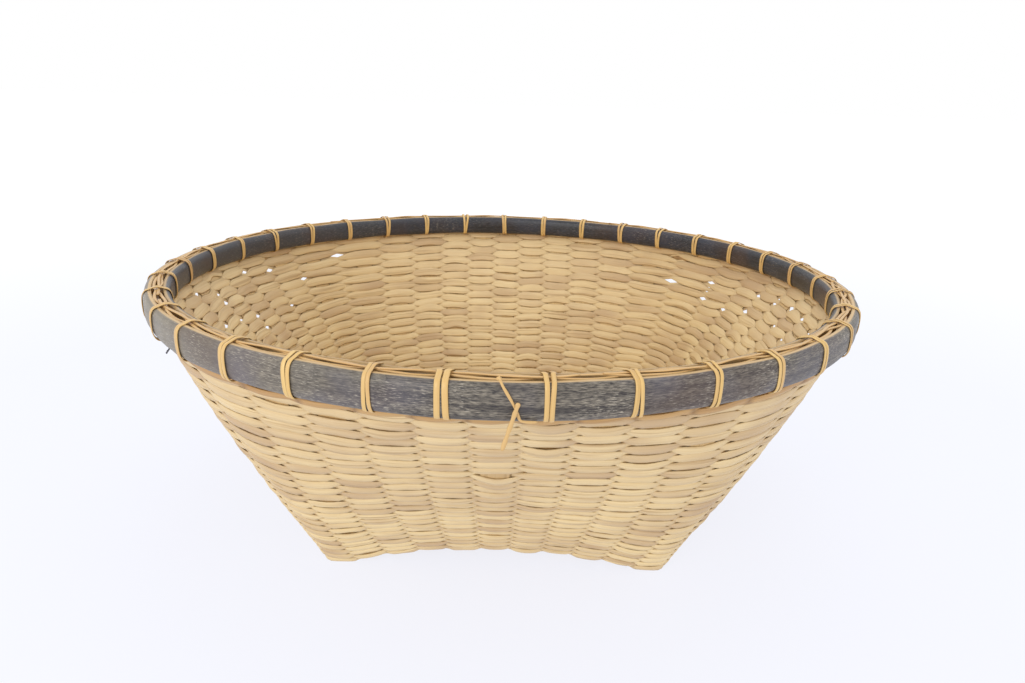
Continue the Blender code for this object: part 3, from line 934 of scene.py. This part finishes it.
def bamboo_material(name, colours, roughness, ior, relief):
    """Dry split bamboo or cane from pale, mid, dark, stain and crevice colours. Fibres mix
    pale and mid, dark streaks and stained patches lie over them, it is browner higher up,
    and edges and crossings are darkest, dust and painted shade in one colour. Its fibres
    stand relief metres proud."""
    material, tree, shader = new_material(name, roughness, ior)
    pale, mid, dark, stain, crevice_dust_and_shade = (linear_colour(code) for code in colours)
    tone = carried(tree, "tone")
    fibre = grain_noise(tree, FIBRE, 4.0, tone)
    streak = grain_noise(tree, STREAK, 3.0, tone)
    patch = patch_noise(tree, STAINED_PATCH, 3.0, 2.0)
    colour = blended(tree, ranged(tree, fibre, 0.32, 0.68), pale, mid)
    colour = blended(tree, ranged(tree, tone, 0.0, 1.0, 0.0, 0.5), colour, mid)
    stained = ranged(tree, carried(tree, "patch"), -0.2, 1.2, 0.0, 0.75)
    colour = blended(tree, stained, colour, stain)
    colour = blended(tree, ranged(tree, streak, 0.54, 0.74, 0.0, 0.85), colour, dark)
    colour = blended(tree, ranged(tree, patch, 0.48, 0.72, 0.0, 0.45), colour, stain)
    higher = ranged(tree, coordinate(tree, "Z"), 0.05, 0.17, 0.0, 0.22)
    colour = blended(tree, higher, colour, stain)
    # painted shade with dust: edges and crossings are mixed toward the crevice colour, in place of
    # the shade that falls there
    dust_and_painted_shade = ranged(tree, carried(tree, "crevice_dust_and_shade"), 0.45, 1.0, 0.0, 0.55)
    colour = blended(tree, dust_and_painted_shade, colour, crevice_dust_and_shade)
    finish(tree, shader, colour, fibre, relief)
    return material


def finish(tree, shader, colour, fibre, relief):
    """Joins the colour and a fine relief of the fibres, relief metres deep, to the shader."""
    tree.links.new(colour, shader.inputs["Base Color"])
    bump = add(tree, "Bump", {"Strength": 0.6, "Distance": relief, "Height": fibre})
    tree.links.new(bump.outputs["Normal"], shader.inputs["Normal"])


def weft_material():
    """Bamboo splits, scraped round and woven dry: matt straw with fine fibres along each
    split, some splits pinker or browner, and dust and painted shade in the crossings."""
    return bamboo_material("split_bamboo_weft", WEFT_COLOURS, 0.52, 1.5, 0.0003)


def strip_material():
    """Broad bamboo strips, split and shaved flat: slightly darker and smoother than the
    wefts, with straight fibres."""
    return bamboo_material("shaved_bamboo_strip", STRIP_COLOURS, 0.50, 1.5, 0.0002)


def border_material():
    """Bamboo splits twined round the stakes, cut nearer the skin: a warmer tan orange."""
    return bamboo_material("twined_bamboo_border", BORDER_COLOURS, 0.50, 1.5, 0.0003)


def cane_material():
    """Rattan cane peeled with its skin on: a satin golden straw, its edges darkened by dust
    and painted shade so that its crown looks paler.
    """
    return bamboo_material("peeled_rattan_cane", CANE_COLOURS, 0.38, 1.52, 0.0002)


def hoop_material(name, colours, roughness):
    """Split bamboo pole, smoked and weathered: a near-black skin gone grey in fine streaks
    along the grain, with a painted sheen that greys it most at the left, bluish and brown
    patches, pale scratches and the pale flesh at its cut edges."""
    material, tree, shader = new_material(name, roughness)
    base, grey, blue, brown, scuff, flesh = (linear_colour(code) for code in colours)
    fine = grain_noise(tree, HOOP_FIBRE, 5.0, 0.13)
    broad = grain_noise(tree, HOOP_STREAK, 3.0, 0.41)
    band = patch_noise(tree, BROWN_PATCH, 2.0, 6.0)
    tint = patch_noise(tree, BLUE_PATCH, 2.0, 7.0)
    # painted sheen: the skin is mixed toward grey toward the left, standing in for the gloss that
    # light gives it there
    painted_left_sheen = ranged(tree, coordinate(tree, "X"), -0.03, -0.19, 0.0, 0.60)
    colour = blended(tree, ranged(tree, fine, 0.38, 0.63), base, grey)
    colour = blended(tree, ranged(tree, broad, 0.42, 0.62, 0.0, 0.75), colour, base)
    colour = blended(tree, painted_left_sheen, colour, grey)
    colour = blended(tree, ranged(tree, tint, 0.48, 0.66, 0.0, 0.55), colour, blue)
    colour = blended(tree, ranged(tree, band, 0.50, 0.68, 0.0, 0.55), colour, brown)
    colour = blended(tree, hoop_scuffs(tree), colour, scuff)
    colour = blended(tree, carried(tree, "flesh"), colour, flesh)
    gloss = ranged(tree, fine, 0.3, 0.7, roughness - 0.07, roughness + 0.12)
    tree.links.new(gloss, shader.inputs["Roughness"])
    finish(tree, shader, colour, fine, 0.0003)
    return material


def hoop_scuffs(tree):
    """How scuffed a hoop's skin is: fine scratches along the grain, times worn patches."""
    scratch = grain_noise(tree, HOOP_SCRATCH, 3.0, 0.77)
    worn = patch_noise(tree, WORN_PATCH, 2.0, 12.0)
    shares = {0: ranged(tree, scratch, 0.54, 0.68), 1: ranged(tree, worn, 0.40, 0.60, 0.15, 0.8)}
    return add(tree, "Math", shares, operation="MULTIPLY").outputs[0]


# ---------------------------------------------------------------- room

def make_floor():
    """A plain pale floor. It glows a little, as an overlit sweep does, so that shadows stay
    faint, and turns to plain white far away."""
    reach = 30.0
    points = [(-reach, -reach, 0.0), (reach, -reach, 0.0), (reach, reach, 0.0), (-reach, reach, 0.0)]
    mesh = bpy.data.meshes.new("studio_floor")
    mesh.from_pydata(points, [], [[0, 1, 2, 3]])
    material, tree, shader = new_material("painted_studio_floor", 0.9)
    shader.inputs["Specular IOR Level"].default_value = 0.0
    place = add(tree, "TexCoord").outputs["Object"]
    away = add(tree, "VectorMath", {0: place}, operation="LENGTH").outputs["Value"]
    far = ranged(tree, away, 0.6, 3.0)
    glow = blended(tree, far, linear_colour(FLOOR_GLOW), WHITE)
    paint = blended(tree, far, linear_colour(FLOOR_PAINT), FAR_PAINT)
    tree.links.new(paint, shader.inputs["Base Color"])
    tree.links.new(glow, shader.inputs["Emission Color"])
    shader.inputs["Emission Strength"].default_value = 1.0
    mesh.materials.append(material)
    floor = bpy.data.objects.new("studio_floor", mesh)
    bpy.context.scene.collection.objects.link(floor)


def add_light(name, place, size, power, colour):
    """A round softbox of this size in metres and power in watts, turned to the basket."""
    data = bpy.data.lights.new(name, "AREA")
    data.shape = "DISK"
    data.size = size
    data.energy = power
    data.color = colour
    light = bpy.data.objects.new(name, data)
    bpy.context.scene.collection.objects.link(light)
    light.location = place
    aim = Vector((0, 0, 0.1)) - Vector(place)
    light.rotation_euler = aim.to_track_quat("-Z", "Y").to_euler()


def make_light():
    """An even white surround, a weak key at the front left and a weaker one above."""
    world = bpy.data.worlds.new("studio_white")
    bpy.context.scene.world = world
    world.use_nodes = True
    background = world.node_tree.nodes["Background"]
    background.inputs["Color"].default_value = WHITE
    background.inputs["Strength"].default_value = 1.0
    add_light("key_softbox", (-1.0, -1.9, 0.9), 1.2, 14.0, (1.0, 0.99, 0.97))
    add_light("top_softbox", (0.3, 0.4, 2.4), 1.6, 5.0, (1.0, 1.0, 1.0))


def make_camera():
    """The camera looks slightly down on the front side, a little to its right, and leans."""
    place = (0.0062, -0.5629, 0.3071)
    pitch, yaw, roll = (math.radians(value) for value in (18.01, 0.18, 1.79))
    level = Vector((math.sin(yaw), math.cos(yaw), 0.0)) * math.cos(pitch)
    forward = level - Vector((0.0, 0.0, math.sin(pitch)))
    right = Vector((math.cos(yaw), -math.sin(yaw), 0.0))
    up = right.cross(forward)
    right_rolled = math.cos(roll) * right + math.sin(roll) * up
    up_rolled = math.cos(roll) * up - math.sin(roll) * right
    data = bpy.data.cameras.new("camera")
    data.sensor_width = 36.0
    data.lens = 26.34
    data.dof.use_dof = False
    camera = bpy.data.objects.new("camera", data)
    turn = Matrix((right_rolled, up_rolled, -forward)).transposed().to_4x4()
    camera.matrix_world = Matrix.Translation(place) @ turn
    bpy.context.scene.collection.objects.link(camera)
    bpy.context.scene.camera = camera


def main():
    """Makes the materials, every piece, and the room."""
    bpy.context.scene.view_settings.view_transform = "Standard"
    weft = weft_material()
    strip = strip_material()
    border = border_material()
    cane = cane_material()
    outer = hoop_material("smoked_bamboo_outer", OUTER_COLOURS, 0.40)
    inner = hoop_material("smoked_bamboo_inner", INNER_COLOURS, 0.36)
    make_weft_rows(weft)
    make_twining("foot_twining", weft, seed=61, level=0.014, height=0.004, tall=0.0011, off=0.0)
    make_twining("border_twining", border, seed=62, level=0.965, height=0.006, tall=0.0027,
                 off=0.0013)
    make_strips(strip)
    make_hoop("outer_hoop", OUTER_FLAT, OUTER_CROWN, outer, seed=71, worn=True)
    make_hoop("inner_hoop", INNER_FLAT, INNER_CROWN, inner, seed=81, worn=False)
    make_binder("outer_binder", 0, cane)
    make_binder("inner_binder", 1, cane)
    make_canes(cane)
    make_loose_tie(cane)
    make_torn_skin(inner)
    make_floor()
    make_light()
    make_camera()


main()
